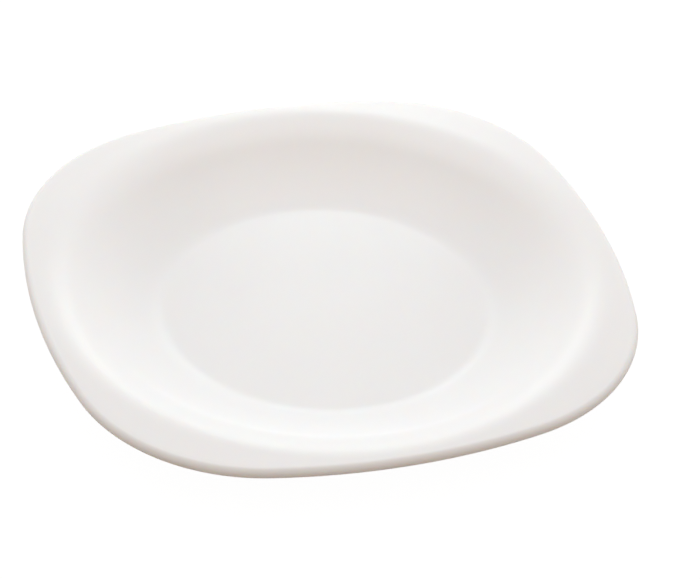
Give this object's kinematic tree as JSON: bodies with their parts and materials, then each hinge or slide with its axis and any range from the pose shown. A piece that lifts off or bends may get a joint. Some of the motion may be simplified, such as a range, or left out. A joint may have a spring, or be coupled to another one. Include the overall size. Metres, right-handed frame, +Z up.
{
  "type": "dessert plate",
  "caption": "Soft-square white opal-glass dessert plate with a round flat well, a curved wall rising to a soft-square rim, a round lip and a low foot ring.",
  "frame": {"origin": "middle of the plane that the foot ring stands on, under the middle of the plate", "axes": "+Z up through the middle of the well; +X and +Y towards the middles of two neighbouring sides"},
  "size_m": [0.2, 0.2, 0.0205],
  "materials": {
    "opal_glass": "gloss"
  },
  "bodies": {
    "root": {"plate": "opal_glass"}
  },
  "joints": []
}
